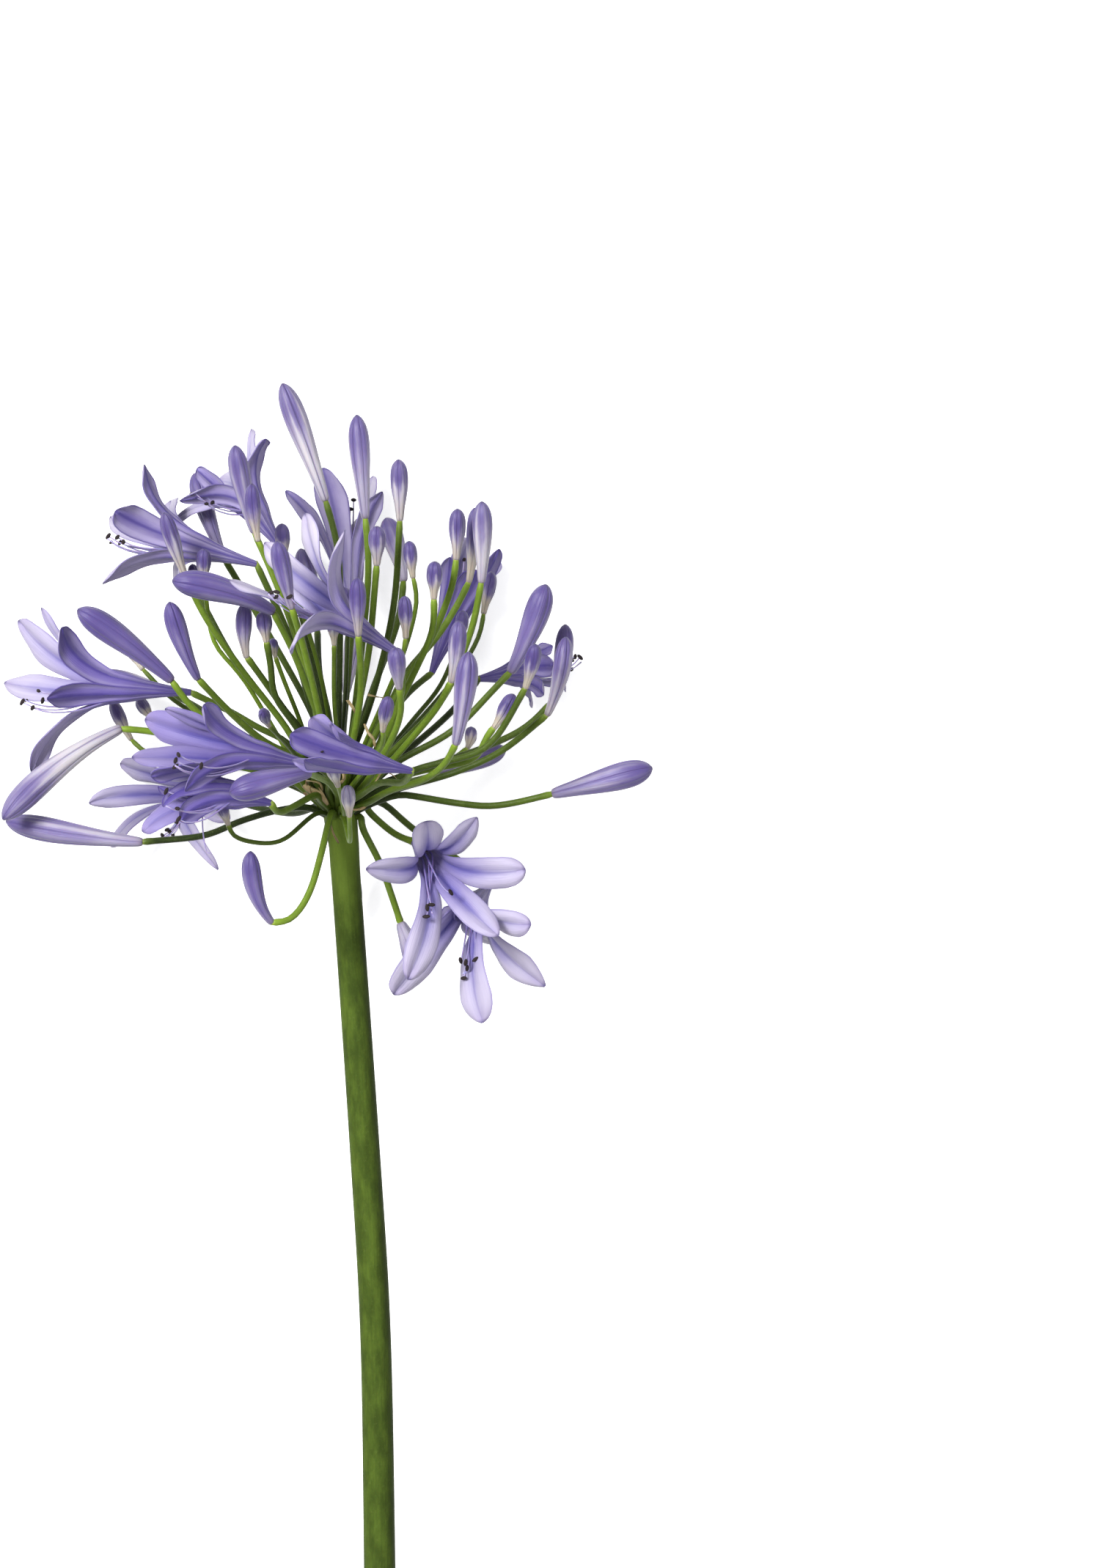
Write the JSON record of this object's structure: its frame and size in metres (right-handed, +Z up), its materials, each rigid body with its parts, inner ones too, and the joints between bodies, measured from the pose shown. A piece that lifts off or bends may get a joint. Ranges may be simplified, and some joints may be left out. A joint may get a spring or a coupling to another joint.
{
  "type": "agapanthus flower stem",
  "caption": "One cut agapanthus stem laid flat: a thick leafless scape with a round umbel of buds and six-tepalled lavender flowers on thin stalks.",
  "frame": {"origin": "middle of the footprint of the stem as it lies, on the surface that it rests on", "axes": "+Y from the cut end towards the umbel, +Z up from the surface, +X to the right seen from above"},
  "size_m": [0.2222, 0.4742, 0.1569],
  "materials": {
    "scape": "smooth waxy green stem skin, faintly mottled, satin",
    "bud": "closed violet-blue buds, paler at the foot, on smooth green stalks",
    "flower": "soft lavender tepals with a deeper blue midrib, satin, slightly translucent"
  },
  "bodies": {
    "root": {"scape": "scape", "bud_01": "bud", "bud_02": "bud", "bud_03": "bud", "bud_04": "bud", "bud_05": "bud", "bud_06": "bud", "bud_07": "bud", "bud_08": "bud", "bud_09": "bud", "bud_10": "bud", "bud_11": "bud", "bud_12": "bud", "bud_13": "bud", "bud_14": "bud", "bud_15": "bud", "bud_16": "bud", "bud_17": "bud", "bud_18": "bud", "bud_19": "bud", "bud_20": "bud", "bud_21": "bud", "bud_22": "bud", "bud_23": "bud", "bud_24": "bud", "bud_25": "bud", "bud_26": "bud", "bud_27": "bud", "bud_28": "bud", "bud_29": "bud", "bud_30": "bud", "bud_31": "bud", "bud_32": "bud", "bud_33": "bud", "bud_34": "bud", "bud_35": "bud", "bud_36": "bud", "bud_37": "bud", "bud_38": "bud", "bud_39": "bud", "bud_40": "bud", "bud_41": "bud", "bud_42": "bud", "bud_43": "bud", "bud_44": "bud", "bud_45": "bud", "bud_46": "bud", "flower_01": "flower", "flower_02": "flower", "flower_03": "flower", "flower_04": "flower", "flower_05": "flower", "flower_06": "flower", "flower_07": "flower", "flower_08": "flower", "flower_09": "flower", "flower_10": "flower", "flower_11": "flower", "flower_12": "flower", "flower_13": "flower"}
  },
  "joints": []
}
